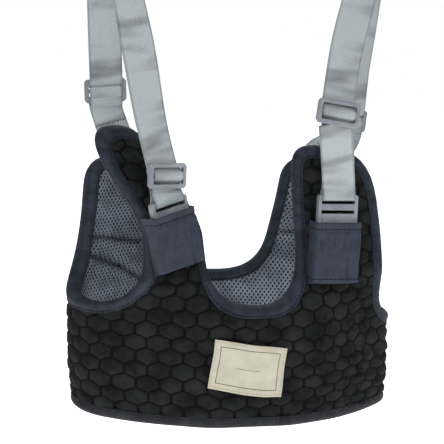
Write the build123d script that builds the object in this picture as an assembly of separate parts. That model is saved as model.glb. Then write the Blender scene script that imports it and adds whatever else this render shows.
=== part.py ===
from build123d import *
import math
import os

# Toddler walking harness, hanging from its two hand loops.
# The front faces -Y, +X is on the right when it is seen from the front, +Z is up.
# All sizes in millimetres.  Z = 0 is the level of the hem at the middle of the front.

# --- the vest, as a flattened padded tube -------------------------------------------------
HALF_WIDTH = 127.0        # middle of the body to the side, outer face
HALF_DEPTH = 66.0         # middle of the body to the front, outer face
SIDE_RADIUS = 38.0        # how tightly the sides turn
CHEST_NARROWING = 8.0     # the tube gets narrower towards the shoulders
CHEST_FLATTENING = 14.0   # and flatter
HEM_TUCK = 3.0            # the hem is drawn in
DROOP = 0.075             # the right-hand side hangs lower: fall per millimetre of X
TWIST_START = 80.0        # the front lobes turn above this height
TWIST_RISE = 40.0         # and are fully turned this much higher
SIDE_SEAM = 152.0         # distance round the body from the front middle to a side seam

# --- layers, as depths from the outer face ------------------------------------------------
OUTER_CLOTH = 1.2
PADDING_DEPTH = 6.4
LINING_DEPTH = 7.6

# --- edge binding -------------------------------------------------------------------------
BINDING_WIDTH = 8.0
BINDING_PROUD = 0.9
HEM_HEIGHT = 7.0
SEWN_GAP = 0.6            # cloth and tape are drawn this far apart

# --- openings, measured on the unrolled vest ----------------------------------------------
FRONT_NECK_BOTTOM = 91.5
BACK_NECK_BOTTOM = 87.0
NECK_HALF_WIDTH = 40.0
BACK_NECK_HALF_WIDTH = 49.0
NECK_DEPTH = 42.0
ARMHOLE_DEPTH = 48.0
CURVE_POWER = 2.8         # a rounder or squarer U

# --- hardware -----------------------------------------------------------------------------
WEBBING_WIDTH = 25.0
WEBBING = 1.5
TRIGLIDE_WIDTH = 32.0
TRIGLIDE_HEIGHT = 18.0
TRIGLIDE_BAR = 3.0
TRIGLIDE_THICKNESS = 3.4
TURN_ROOM = 0.8           # webbing stands this much clear of a bar that it turns round, in all
STRAP_GAP = 4.1           # a tri-glide's middle plane from the middle of its strap
TAIL_THICKNESS = 1.8      # the two layers below a front tri-glide, pulled tight
TAIL_END = 6.3            # they stop this far below the end of the hand strap
TAIL_TUCK = {"left": 0.0, "right": 2.1}  # and this far behind its line
PLUG_WIDTH = 31.0
PLUG_HEIGHT = 20.0
PLUG_THICKNESS = 4.6
PLUG_BAR = 3.4            # height of the bar that the webbing turns round
SOCKET_WIDTH = 33.0
SOCKET_HEIGHT = 26.5
SOCKET_THICKNESS = 9.4
SOCKET_WALL = 1.5
SOCKET_SLOT = -25.6       # height of the anchor webbing's slot in the buckle's frame
COVER_WIDTH = 39.0
COVER_CLOTH = 0.9
LABEL_WIDTH = 55.0
LABEL_HEIGHT = 38.0
LABEL_MIDDLE = (-9.0, 47.0)
LABEL_TILT = 8.0

# --- where the hardware sits --------------------------------------------------------------
# Buckle origins on the front lobes, as distance round the body and height.
BUCKLES = {"left": (-73, 151.5), "right": (70, 154)}
BUCKLE_ROLL = {"left": 6.0, "right": -8.0}
COVER_TOP = {"left": 10.5, "right": 0.0}       # mouth of the cover in the buckle's frame
COVER_HEIGHT = {"left": 40.0, "right": 48.0}
TRIGLIDE_ROLL = {"left": -18.0, "right": 0.0}  # a slack strap lets its front tri-glide hang askew
STAND_OFF = 8.2                                # buckle's middle plane above the outer face
# Hand straps: front tri-glide, then over the top, down to the rear tri-glide.
LOOPS = {
    "left": [(-68, -55, 194), (-77, -53.5, 234), (-82.5, -46, 279), (-87.5, -34, 322), (-90, -17, 362),
             (-91, 4, 384), (-90, 24, 372), (-87.5, 36, 336), (-86, 41, 290), (-85, 42, 240)],
    "right": [(57, -68, 234), (67, -60, 278), (84, -44, 318), (102, -20, 359), (114, 4, 382),
              (124, 24, 368), (126, 35, 330), (123, 40, 288), (117.5, 42, 248), (113, 42, 206)],
}


def smooth(t):
    """Ease from 0 to 1."""
    t = min(max(t, 0.0), 1.0)
    return t * t * (3 - 2 * t)


# Armholes, as distances round the body: the lowest point, and the reach to the front and back lobe.
# The left one is pulled towards the front.
ARMHOLES = {
    "left": dict(middle=136, bottom=87, front=45, back=48),
    "right": dict(middle=152, bottom=71, front=42, back=44),
}
# Lobes: where each sits round the vest, and how it hangs away from the plain tube.
# u: stretch round the body; lean: start and end height of the lean, with its X and Y travel;
# twist: degrees about the pivot, and shift: X travel, both over the full width of the lobe.
LOBES = {
    "front_left": dict(u=(-SIDE_SEAM, 0), lean=(140, 230), dx=-40, dy=22, twist=36, shift=8,
                       pivot=(-62, -56)),
    "front_right": dict(u=(0, SIDE_SEAM), lean=(95, 215), dx=-4, dy=0, twist=-18, shift=0, pivot=(70, -52)),
    "back_left": dict(u=(-306, -SIDE_SEAM), lean=(95, 190), dx=2, dy=-6, twist=0, shift=0, pivot=(-80, 50)),
    "back_right": dict(u=(SIDE_SEAM, 306), lean=(95, 190), dx=12, dy=-6, twist=0, shift=0, pivot=(80, 50)),
}
TOPS = {  # highest point of each lobe: distance round the body, height, rounding at neck and arm
    "front_left": (-62, 217, 20, 46),
    "front_right": (58, 208, 18, 55),
    "back_left": (-220, 186, 22, 24),
    "back_right": (230, 186, 22, 34),
}


def oval(share, half_width, half_depth, side_radius):
    """Point and outward direction at a share of the way round, 0 at the front middle."""
    reach = half_width - side_radius
    drop = (reach ** 2 - (half_depth - side_radius) ** 2) / (2 * (half_depth - side_radius))
    radius = half_depth + drop
    turn = math.atan2(reach, drop)
    front = radius * turn
    side = side_radius * (math.pi - 2 * turn)
    run = abs(share) * (4 * front + 2 * side)
    sign = -1 if share < 0 else 1
    if run < front:
        angle = run / radius
        x, y = radius * math.sin(angle), drop - radius * math.cos(angle)
    elif run < front + side:
        angle = turn + (run - front) / side_radius
        x, y = reach + side_radius * math.sin(angle), -side_radius * math.cos(angle)
    else:
        angle = math.pi - turn + (run - front - side) / radius
        x, y = radius * math.sin(angle), -drop - radius * math.cos(angle)
    return (sign * x, y), (sign * math.sin(angle), -math.cos(angle)), 4 * front + 2 * side


GIRTH = oval(0, HALF_WIDTH, HALF_DEPTH, SIDE_RADIUS)[2]


def place(u, z, depth=0.0):
    """Point of the vest at distance u round the body, height z and depth under the outer face."""
    chest = smooth((z - 60) / 130)
    width = HALF_WIDTH - CHEST_NARROWING * chest - HEM_TUCK * smooth((30 - z) / 30)
    depth_y = HALF_DEPTH - CHEST_FLATTENING * chest
    (x, y), (nx, ny), _ = oval(u / GIRTH, width, depth_y, SIDE_RADIUS)
    x, y = x - nx * depth, y - ny * depth
    for lobe in LOBES.values():
        if not lobe["u"][0] <= u < lobe["u"][1]:
            continue
        low, high = lobe["lean"]
        share = smooth((z - low) / (high - low))
        from_edges = min(abs(u), abs(SIDE_SEAM - abs(u)))
        turned = smooth((z - TWIST_START) / TWIST_RISE) * smooth(from_edges / 35)
        angle = math.radians(lobe["twist"]) * turned
        px, py = lobe["pivot"]
        rx, ry = x - px, y - py
        x = px + rx * math.cos(angle) - ry * math.sin(angle) + share * lobe["dx"] + turned * lobe["shift"]
        y = py + rx * math.sin(angle) + ry * math.cos(angle) + share * lobe["dy"]
    return Vector(x, y, z - DROOP * x)


def u_curve(t):
    """Unit quarter of a rounded U: across and up, for t from 0 (bottom) to 1 (side)."""
    angle = t * math.pi / 2
    return math.sin(angle) ** (2 / CURVE_POWER), 1 - math.cos(angle) ** (2 / CURVE_POWER)


def edge_path(middle, bottom, across, up, lobe, neck_side):
    """Edge from the bottom of an opening up to the top of a lobe, as (u, z) points."""
    top_u, top_z, neck_round, arm_round = TOPS[lobe]
    rounding = neck_round if neck_side else arm_round
    side_u = middle + across
    path = []
    for i in range(7):
        a, b = u_curve(i / 6)
        path.append((middle + across * a, bottom + up * b))
    for i in range(1, 3):
        path.append((side_u, bottom + up + (top_z - rounding - bottom - up) * i / 3))
    for i in range(6):
        a, b = u_curve(1 - i / 5)
        path.append((top_u + (side_u - top_u) * a, top_z - rounding * b))
    return path


def edges_of(lobe):
    """Neck edge and arm edge of a lobe."""
    side, hand = lobe.split("_")
    sign = -1 if hand == "left" else 1
    hole = ARMHOLES[hand]
    if side == "front":
        neck = edge_path(0, FRONT_NECK_BOTTOM, sign * NECK_HALF_WIDTH, NECK_DEPTH, lobe, True)
        reach = -sign * hole["front"]
    else:
        back = sign * (GIRTH / 2 - 0.01)
        neck = edge_path(back, BACK_NECK_BOTTOM, -sign * BACK_NECK_HALF_WIDTH, NECK_DEPTH, lobe, True)
        reach = sign * hole["back"]
    arm = edge_path(sign * hole["middle"], hole["bottom"], reach, ARMHOLE_DEPTH, lobe, False)
    return neck, arm


def inset_path(path, distance, inward):
    """The edge moved into the cloth by a distance; inward is 1 or -1, the side the cloth is on."""
    moved = []
    for i, (u, z) in enumerate(path):
        u0, z0 = path[max(i - 1, 0)]
        u1, z1 = path[min(i + 1, len(path) - 1)]
        run = math.hypot(u1 - u0, z1 - z0)
        moved.append((u + inward * distance * (z1 - z0) / run, z - inward * distance * (u1 - u0) / run))
    return moved


def edge_at(path, z, below):
    """Distance round the body at which an edge passes a height, or the value given below it."""
    if z <= path[0][1]:
        return below
    for (u0, z0), (u1, z1) in zip(path, path[1:]):
        if z0 <= z <= z1:
            return u0 + (u1 - u0) * (z - z0) / max(z1 - z0, 1e-6)
    return path[-1][0]


def inward_sign(lobe, neck_side):
    """Which way the cloth lies from an edge that is followed upwards."""
    along = 1 if lobe in ("front_right", "back_left") else -1
    return along if neck_side else -along


def strip(u0, u1, z, d0, d1):
    """Closed section of a wall between two depths, at one height."""
    steps = max(3, round(abs(u1 - u0) / 18))
    us = [u0 + (u1 - u0) * i / steps for i in range(steps + 1)]
    outer = [place(u, z, d0) for u in us]
    inner = [place(u, z, d1) for u in reversed(us)]
    return Wire([Edge.make_spline(outer), Edge.make_line(outer[-1], inner[0]),
                 Edge.make_spline(inner), Edge.make_line(inner[-1], outer[0])])


def half_panel(lobe, d0, d1):
    """One side of the front or back panel between two depths, from the hem to the top of its lobe."""
    neck, arm = edges_of(lobe)
    middle, seam = neck[0][0], arm[0][0]
    neck = inset_path(neck, BINDING_WIDTH + SEWN_GAP, inward_sign(lobe, True))
    arm = inset_path(arm, BINDING_WIDTH + SEWN_GAP, inward_sign(lobe, False))
    levels = [HEM_HEIGHT + SEWN_GAP, 30.0, 48.0]
    for z in sorted(z for _, z in neck + arm):
        if z - levels[-1] > 1.2:
            levels.append(z)
    spans = [(z, edge_at(neck, z, middle), edge_at(arm, z, seam)) for z in levels]
    spans = [(z, a, b) for z, a, b in spans if abs(b - a) > 9 and z < min(neck[-1][1], arm[-1][1])]
    return Solid.make_loft([strip(a, b, z, d0, d1) for z, a, b in spans], True)


def panel(side, d0, d1):
    """Front or back panel between two depths; the two meet under the lowest points of the armholes."""
    left = half_panel(side + "_left", d0, d1)
    right = half_panel(side + "_right", d0, d1)
    return left.fuse(right)


def rectangle(centre, across, normal, width, thickness):
    """Flat four-sided wire about a centre."""
    a = across * (width / 2)
    n = normal * (thickness / 2)
    return Wire.make_polygon([centre - a - n, centre + a - n, centre + a + n, centre - a + n], close=True)


def band(sections):
    """Solid through flat rectangles (centre, across, normal, width, thickness)."""
    return Solid.make_loft([rectangle(*section) for section in sections], True)


def binding(path, inward):
    """Folded tape round an edge: a bead that follows the edge."""
    inner = inset_path(path, BINDING_WIDTH, inward)
    thickness = LINING_DEPTH + 2 * BINDING_PROUD
    sections = []
    for (u, z), (ui, zi) in zip(path, inner):
        edge = place(u, z, LINING_DEPTH / 2)
        inside = place(ui, zi, LINING_DEPTH / 2)
        across = (inside - edge).normalized()
        through = place((u + ui) / 2, (z + zi) / 2, 0) - place((u + ui) / 2, (z + zi) / 2, LINING_DEPTH)
        normal = (through - across * through.dot(across)).normalized()
        sections.append(((edge + inside) / 2, across, normal, BINDING_WIDTH, thickness))
    return band(sections)


def upper_bindings():
    """Neck and armhole bindings, each from the top of one lobe down and up to the next."""
    runs = {
        "front_neck_binding": ("front_left", "front_right", True),
        "back_neck_binding": ("back_left", "back_right", True),
        "left_armhole_binding": ("front_left", "back_left", False),
        "right_armhole_binding": ("front_right", "back_right", False),
    }
    pieces = {}
    for name, (first, second, neck_side) in runs.items():
        index = 0 if neck_side else 1
        halves = []
        for lobe in (first, second):
            path = edges_of(lobe)[index]
            halves.append(binding(path[:-1], inward_sign(lobe, neck_side)))
        pieces[name] = halves[0].fuse(halves[1])
    return pieces


def hem_binding():
    """Folded tape round the hem, a closed ring."""
    steps = 48
    rings = []
    for depth in (-BINDING_PROUD, LINING_DEPTH + BINDING_PROUD):
        wires = []
        for z in (0.0, HEM_HEIGHT):
            us = [GIRTH * (i / steps - 0.5) for i in range(steps)]
            wires.append(Wire([Edge.make_spline([place(u, z, depth) for u in us], periodic=True)]))
        rings.append(Solid.make_loft(wires, True))
    return rings[0].cut(rings[1])


def rolled(plane, degrees):
    """The same plane turned in itself, anticlockwise seen from outside."""
    turn = math.radians(degrees)
    across = plane.x_dir * math.cos(turn) + plane.y_dir * math.sin(turn)
    return Plane(origin=plane.origin, x_dir=across, z_dir=plane.z_dir)


def buckle_plane(side):
    """Plane on a lobe: x across the lobe, y up it, z out of it; the buckle hangs below its origin."""
    u, z = BUCKLES[side]
    below = z - SOCKET_HEIGHT
    middle = place(u, (z + below) / 2)
    up = (place(u, z) - place(u, below)).normalized()
    across = place(u + 15, (z + below) / 2) - place(u - 15, (z + below) / 2)
    across = (across - up * across.dot(up)).normalized()
    normal = across.cross(up)
    origin = middle + up * (z - below) / 2 + normal * STAND_OFF
    return rolled(Plane(origin=origin, x_dir=across, z_dir=normal), BUCKLE_ROLL[side])


def put(plane, solid):
    """A solid drawn at the origin, carried to a plane."""
    return plane.location * solid


def slab(width, height, thickness, x=0.0, y=0.0, z=0.0, corner=0.0):
    """Flat block about a centre, its upright corners rounded."""
    block = Pos(x, y, z) * Box(width, height, thickness)
    if corner:
        block = fillet(block.edges().filter_by(Axis.Z), corner)
    return block


def bar(length, radius, y, z=0.0):
    """Round crossbar along x."""
    return Pos(0, y, z) * Rot(0, 90, 0) * Cylinder(radius, length)


def triglide():
    """Slide adjuster: a rounded frame with a middle bar."""
    body = slab(TRIGLIDE_WIDTH, TRIGLIDE_HEIGHT, TRIGLIDE_THICKNESS, corner=3.2)
    opening = slab(TRIGLIDE_WIDTH - 2 * TRIGLIDE_BAR, TRIGLIDE_HEIGHT - 2 * TRIGLIDE_BAR, 9, corner=1.2)
    body = chamfer(body.faces().sort_by(Axis.Z)[-1].outer_wire().edges(), 0.8)
    body = body - opening
    return body + bar(TRIGLIDE_WIDTH - TRIGLIDE_BAR, 1.5, 0)


def plug_frame():
    """Male buckle half without its latch arms: ladder of bars, shoulder with a raised plate, guide."""
    frame = slab(PLUG_WIDTH, PLUG_HEIGHT + 2, PLUG_THICKNESS, y=PLUG_HEIGHT / 2 - 1, corner=2.0)
    slot_width = PLUG_WIDTH - 5.0
    frame -= slab(slot_width, 3.6, 9, y=15.0)
    frame -= slab(slot_width, 2.6, 9, y=7.3)
    frame += slab(24, 3.4, 1.0, y=1.4, z=PLUG_THICKNESS / 2 + 0.4)
    for i in range(15):
        frame += Pos(1.7 * (i - 7), 10.9, PLUG_THICKNESS / 2) * Box(0.8, 4.0, 0.7)
    return frame + slab(6.0, 21.0, 3.6, y=-12.0)


def latch_arm(sign):
    """Springy side arm with the hook that catches in the socket's window."""
    arm = slab(3.4, 20.5, 3.6, x=sign * 10.6, y=-12.6)
    hook = slab(4.6, 8.0, 3.6, x=sign * 13.8, y=-17.0)
    return arm + hook


def socket():
    """Female buckle half: a flat sleeve open at the top, with side windows and a webbing slot below."""
    body = slab(SOCKET_WIDTH, SOCKET_HEIGHT, SOCKET_THICKNESS, y=-2.6 - SOCKET_HEIGHT / 2, corner=2.5)
    hollow = SOCKET_THICKNESS - 2 * SOCKET_WALL
    body -= slab(SOCKET_WIDTH - 5.0, 23.0, hollow, y=-13.0)
    body -= slab(SOCKET_WIDTH + 6, 9.6, 4.6, y=-17.0)
    return body - slab(WEBBING_WIDTH + 1.4, 3.4, 20, y=SOCKET_SLOT)


def socket_anchor():
    """Short webbing through the socket's slot, sewn to the lobe under the cover."""
    tail = 5.5
    middle = SOCKET_SLOT - tail / 2 + 0.6
    back = slab(WEBBING_WIDTH, tail, 1.0, y=middle, z=-SOCKET_THICKNESS / 2 - 0.7)
    through = slab(WEBBING_WIDTH, 1.2, SOCKET_THICKNESS + 2.2, y=SOCKET_SLOT)
    front = slab(WEBBING_WIDTH, tail, 1.0, y=middle, z=SOCKET_THICKNESS / 2 + 0.6)
    return back + through + front


def buckle_cover(side):
    """Fabric sleeve over the buckle, sewn down along both sides, open above and below."""
    rise = STAND_OFF + SOCKET_THICKNESS / 2 + 1.8
    ceiling = rise - COVER_CLOTH
    half = COVER_WIDTH / 2
    inner = SOCKET_WIDTH / 2 + 0.4
    outer = inner + COVER_CLOTH
    with BuildSketch(Plane.XZ) as profile:
        with BuildLine():
            Polyline((-half, 0), (-half, COVER_CLOTH), (-outer, COVER_CLOTH), (-outer, rise - 2),
                     (-outer + 2, rise), (outer - 2, rise), (outer, rise - 2), (outer, COVER_CLOTH),
                     (half, COVER_CLOTH), (half, 0), (inner, 0), (inner, ceiling - 2),
                     (inner - 1.6, ceiling), (1.6 - inner, ceiling), (-inner, ceiling - 2), (-inner, 0),
                     close=True)
        make_face()
    height = COVER_HEIGHT[side]
    middle = COVER_TOP[side] - height / 2
    return Pos(0, middle, 0.6 - STAND_OFF) * extrude(profile.sketch, height / 2, both=True)


def strap(route, across_start, across_end, thickness, samples):
    """Flat webbing along a smooth route, its width turning evenly from one end to the other."""
    line = Spline(*[Vector(*p) for p in route])
    sections = []
    for i in range(samples + 1):
        t = i / samples
        tangent = line.tangent_at(t)
        across = across_start * (1 - smooth(t)) + across_end * smooth(t)
        across = (across - tangent * across.dot(tangent)).normalized()
        sections.append((line.position_at(t), across, across.cross(tangent), WEBBING_WIDTH, thickness))
    return band(sections)


def triglide_plane(place_on_strap, up, across):
    """A tri-glide lies on the outward face of its strap."""
    across = (across - up * across.dot(up)).normalized()
    outward = across.cross(up)
    return Plane(origin=place_on_strap + outward * STRAP_GAP, x_dir=across, z_dir=outward)


def strap_rise(side):
    """Direction in which a hand strap leaves its front tri-glide."""
    return (Vector(*LOOPS[side][1]) - Vector(*LOOPS[side][0])).normalized()


def front_triglide_plane(side, buckle):
    """The front tri-glide, on the stretch of strap above the buckle."""
    plane = triglide_plane(Vector(*LOOPS[side][0]), strap_rise(side), buckle.x_dir)
    return rolled(plane, TRIGLIDE_ROLL[side])


def rear_triglide_plane(side):
    """The rear tri-glide, on the stretch of strap above the back lobe."""
    end, before = Vector(*LOOPS[side][-1]), Vector(*LOOPS[side][-2])
    return triglide_plane(end, (before - end).normalized(), Vector(-1, 0, 0))


def webbing_turn(bar_height, bar_thickness, y):
    """Webbing folded round a crossbar: a closed sleeve along x."""
    height, thickness = bar_height + TURN_ROOM, bar_thickness + TURN_ROOM
    hole = slab(WEBBING_WIDTH + 9, height, thickness, y=y)
    sleeve = Pos(0, y, 0) * Box(WEBBING_WIDTH, height + 2 * WEBBING, thickness + 2 * WEBBING)
    sleeve = fillet(sleeve.edges().filter_by(Axis.X), 1.4)
    return sleeve - hole


def hand_strap(side, buckle, rear):
    """The hand loop: up from the front tri-glide, over the top and down to the rear one."""
    return strap(LOOPS[side], buckle.x_dir, rear.x_dir * -1, WEBBING, 30)


def strap_tail(side, buckle):
    """The doubled end of the hand strap: from the front tri-glide down and round the buckle's top bar."""
    turn_y = PLUG_HEIGHT - PLUG_BAR / 2
    turn = put(buckle, webbing_turn(PLUG_BAR, PLUG_THICKNESS, turn_y))
    foot = buckle.origin + buckle.y_dir * (turn_y + 3.2)
    front = front_triglide_plane(side, buckle)
    end = Vector(*LOOPS[side][0]) - strap_rise(side) * TAIL_END - front.z_dir * TAIL_TUCK[side]
    knee = foot + buckle.y_dir * 3.0
    return strap([foot, knee, end], buckle.x_dir, buckle.x_dir, TAIL_THICKNESS, 8).fuse(turn)


def rear_anchor(side, rear):
    """Short doubled webbing from the top of the back lobe, folded round the rear tri-glide's lower bar."""
    top_u, top_z, _, _ = TOPS["back_" + side]
    base = place(top_u, top_z + 1.5, LINING_DEPTH / 2)
    turn_y = TRIGLIDE_BAR / 2 - TRIGLIDE_HEIGHT / 2
    turn = put(rear, webbing_turn(TRIGLIDE_BAR, TRIGLIDE_THICKNESS, turn_y))
    top = rear.origin + rear.y_dir * (turn_y - 2.8)
    knee = rear.origin + rear.y_dir * (turn_y - 6.0)
    return strap([base, knee, top], Vector(1, 0, 0), rear.x_dir * -1, 2.4, 8).fuse(turn)


def label():
    """Woven label sewn flat to the front of the band."""
    levels = (20, 30, 48, 63, 80)
    patch = Solid.make_loft([strip(-60, 50, z, -1.2, -0.45) for z in levels], True)
    centre = place(*LABEL_MIDDLE)
    block = Pos(centre.X, centre.Y, centre.Z) * Rot(0, LABEL_TILT, 0) * Box(LABEL_WIDTH, 30, LABEL_HEIGHT)
    return patch & block


def build():
    """Every node of the harness, by name."""
    nodes = {"hem_binding": hem_binding(), "label": label()}
    layers = {
        "outer_panel": (0, OUTER_CLOTH),
        "padding": (OUTER_CLOTH, PADDING_DEPTH),
        "lining": (PADDING_DEPTH, LINING_DEPTH),
    }
    for side in ("front", "back"):
        for layer, (d0, d1) in layers.items():
            nodes[side + "_" + layer] = panel(side, d0, d1)
    nodes.update(upper_bindings())
    for side in BUCKLES:
        buckle = buckle_plane(side)
        front = front_triglide_plane(side, buckle)
        rear = rear_triglide_plane(side)
        nodes[side + "_buckle_plug"] = put(buckle, plug_frame())
        nodes[side + "_outer_latch_arm"] = put(buckle, latch_arm(1 if side == "right" else -1))
        nodes[side + "_inner_latch_arm"] = put(buckle, latch_arm(-1 if side == "right" else 1))
        nodes[side + "_buckle_socket"] = put(buckle, socket())
        nodes[side + "_socket_anchor"] = put(buckle, socket_anchor())
        nodes[side + "_buckle_cover"] = put(buckle, buckle_cover(side))
        nodes[side + "_front_triglide"] = put(front, triglide())
        nodes[side + "_rear_triglide"] = put(rear, triglide())
        nodes[side + "_hand_strap"] = hand_strap(side, buckle, rear)
        nodes[side + "_strap_tail"] = strap_tail(side, buckle)
        nodes[side + "_rear_anchor"] = rear_anchor(side, rear)
    return nodes


if __name__ == "__main__":
    os.makedirs("parts", exist_ok=True)
    for name, solid in build().items():
        export_step(solid, f"parts/{name}.step")
        print(name, round(solid.volume), solid.is_valid)
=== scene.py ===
import math

import bmesh
import bpy
import numpy as np
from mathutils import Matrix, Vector


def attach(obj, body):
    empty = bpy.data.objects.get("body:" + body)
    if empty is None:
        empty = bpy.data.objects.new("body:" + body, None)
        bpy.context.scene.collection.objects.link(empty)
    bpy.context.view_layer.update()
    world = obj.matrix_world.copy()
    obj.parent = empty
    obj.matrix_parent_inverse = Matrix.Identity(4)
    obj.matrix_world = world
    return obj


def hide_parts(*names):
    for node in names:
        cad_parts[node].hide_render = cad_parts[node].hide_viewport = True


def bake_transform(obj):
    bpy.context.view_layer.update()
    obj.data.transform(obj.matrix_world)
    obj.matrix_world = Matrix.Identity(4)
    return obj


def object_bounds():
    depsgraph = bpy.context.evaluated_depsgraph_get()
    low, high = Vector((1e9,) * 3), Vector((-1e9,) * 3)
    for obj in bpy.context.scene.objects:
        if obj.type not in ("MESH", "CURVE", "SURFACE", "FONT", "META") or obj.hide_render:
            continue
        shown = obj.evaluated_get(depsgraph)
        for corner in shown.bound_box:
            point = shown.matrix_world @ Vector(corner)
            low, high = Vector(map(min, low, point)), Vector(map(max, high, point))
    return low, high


# A toddler walking harness that hangs by its two hand loops.
# Shapes are worked out in millimetres on the unrolled vest, as (u, z): u is the distance round the
# body from the front middle, and z the height.  place() rolls them up into the frame of the CAD part.
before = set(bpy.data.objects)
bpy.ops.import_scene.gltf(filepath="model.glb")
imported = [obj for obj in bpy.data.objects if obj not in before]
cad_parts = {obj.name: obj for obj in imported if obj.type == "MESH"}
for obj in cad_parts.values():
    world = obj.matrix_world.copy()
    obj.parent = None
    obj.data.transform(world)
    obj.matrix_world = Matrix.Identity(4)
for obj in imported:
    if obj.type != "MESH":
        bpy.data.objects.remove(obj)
CAD_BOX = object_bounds()
MM = 0.001

# --- the vest's form, as in the CAD part (millimetres) ---
HALF_WIDTH, HALF_DEPTH, SIDE_RADIUS = 127.0, 66.0, 38.0
CHEST_NARROWING, CHEST_FLATTENING, HEM_TUCK = 8.0, 14.0, 3.0
DROOP = 0.075  # the right-hand side hangs lower
SIDE_SEAM = 152.0
TWIST_START, TWIST_RISE = 80.0, 40.0
THICKNESS = 7.6
FRONT_NECK_BOTTOM, BACK_NECK_BOTTOM = 91.5, 87.0
NECK_HALF_WIDTH, BACK_NECK_HALF_WIDTH, NECK_DEPTH = 40.0, 49.0, 42.0
ARMHOLE_DEPTH = 48.0
CURVE_POWER = 2.8
ARMHOLES = {  # lowest point, and reach to the front and back lobe
    "left": dict(middle=136, bottom=87, front=45, back=48),
    "right": dict(middle=152, bottom=71, front=42, back=44),
}
LOBES = {  # stretch of u, height of the lean with its travel, and the turn about an upright pivot
    "front_left": dict(u=(-SIDE_SEAM, 0), lean=(140, 230), dx=-40, dy=22, twist=36, shift=8,
                       pivot=(-62, -56)),
    "front_right": dict(u=(0, SIDE_SEAM), lean=(95, 215), dx=-4, dy=0, twist=-18, shift=0, pivot=(70, -52)),
    "back_left": dict(u=(-306, -SIDE_SEAM), lean=(95, 190), dx=2, dy=-6, twist=0, shift=0, pivot=(-80, 50)),
    "back_right": dict(u=(SIDE_SEAM, 306), lean=(95, 190), dx=12, dy=-6, twist=0, shift=0, pivot=(80, 50)),
}
TOPS = {  # highest point of each lobe as u and z, then its rounding at the neck and at the arm
    "front_left": (-62, 217, 20, 46),
    "front_right": (58, 208, 18, 55),
    "back_left": (-220, 186, 22, 24),
    "back_right": (230, 186, 22, 34),
}

# --- hardware and webbing, as in the CAD part ---
WEBBING_WIDTH, WEBBING = 25.0, 1.5
STRAP_GAP = 4.1  # a tri-glide's middle plane from the middle of its strap
STAND_OFF = 8.2  # buckle's middle plane above the outer face
SOCKET_HEIGHT = 26.5
PLUG_TOP_BAR = 18.3  # middle of the bar in the buckle's frame
TRIGLIDE_LOWER_BAR = -7.5  # and in a tri-glide's
BUCKLES = {"left": (-73, 151.5), "right": (70, 154)}
BUCKLE_ROLL = {"left": 6.0, "right": -8.0}
TRIGLIDE_ROLL = {"left": -18.0, "right": 0.0}
COVER_WIDTH = 36.0
COVER_TOP = {"left": 10.5, "right": 0.0}
COVER_HEIGHT = {"left": 40.0, "right": 48.0}
COVER_OVERLAP = {"left": 3.6, "right": 0.0}  # seam allowance beyond the foot
LABEL_SIZE = (55.0, 38.0)
LABEL_MIDDLE = (-9.0, 47.0)
LABEL_TILT = math.radians(8)
LOOPS = {  # hand loops, from the front tri-glide over the top to the rear one
    "left": np.array([
        (-68, -55, 194), (-77, -53.5, 234), (-82.5, -46, 279), (-87.5, -34, 322), (-90, -17, 362),
        (-91, 4, 384), (-90, 24, 372), (-87.5, 36, 336), (-86, 41, 290), (-85, 42, 240)], float),
    "right": np.array([
        (57, -68, 234), (67, -60, 278), (84, -44, 318), (102, -20, 359), (114, 4, 382),
        (124, 24, 368), (126, 35, 330), (123, 40, 288), (117.5, 42, 248), (113, 42, 206)], float),
}

# --- quilting ---
CELL = 18.5  # hexagons side to side
ROW = 10.4  # rows of hexagons
PUFF = 2.1  # how far a cell stands out of its seams
GRID = 1.25  # mesh spacing of the quilted cloth
LINING_GRID = 1.8  # and of the lining
PULLED_AT = (112, 70)  # the cells are dragged towards the foot of the right armhole
SQUEEZED_BELOW = 52  # and pressed together towards the hem
FOLD_PITCH = 17.0  # drag folds below the right armhole
FOLD_HEIGHT = 1.0
INNER_FACE = 3.6  # depth of the quilting's inner face
LINING_GAP = 0.2  # and the lining starts this much deeper


def smooth(t):
    """Ease from 0 to 1."""
    t = np.clip(t, 0.0, 1.0)
    return t * t * (3 - 2 * t)


def oval(share, width, depth):
    """Points and outward directions at shares of the way round, 0 at the front middle."""
    reach = width - SIDE_RADIUS
    drop = (reach ** 2 - (depth - SIDE_RADIUS) ** 2) / (2 * (depth - SIDE_RADIUS))
    radius = depth + drop
    turn = np.arctan2(reach, drop)
    front = radius * turn
    side = SIDE_RADIUS * (math.pi - 2 * turn)
    run = np.abs(share) * (4 * front + 2 * side)
    at_front = run / radius
    at_side = turn + (run - front) / SIDE_RADIUS
    at_back = math.pi - turn + (run - front - side) / radius
    first = run < front
    second = run < front + side
    angle = np.where(first, at_front, np.where(second, at_side, at_back))
    s, c = np.sin(angle), np.cos(angle)
    x = np.where(first, radius * s, np.where(second, reach + SIDE_RADIUS * s, radius * s))
    y = np.where(first, drop - radius * c, np.where(second, -SIDE_RADIUS * c, -drop - radius * c))
    sign = np.where(share < 0, -1.0, 1.0)
    return sign * x, y, sign * s, -c, 4 * front + 2 * side


GIRTH = float(oval(np.zeros(1), HALF_WIDTH, HALF_DEPTH)[4])


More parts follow.
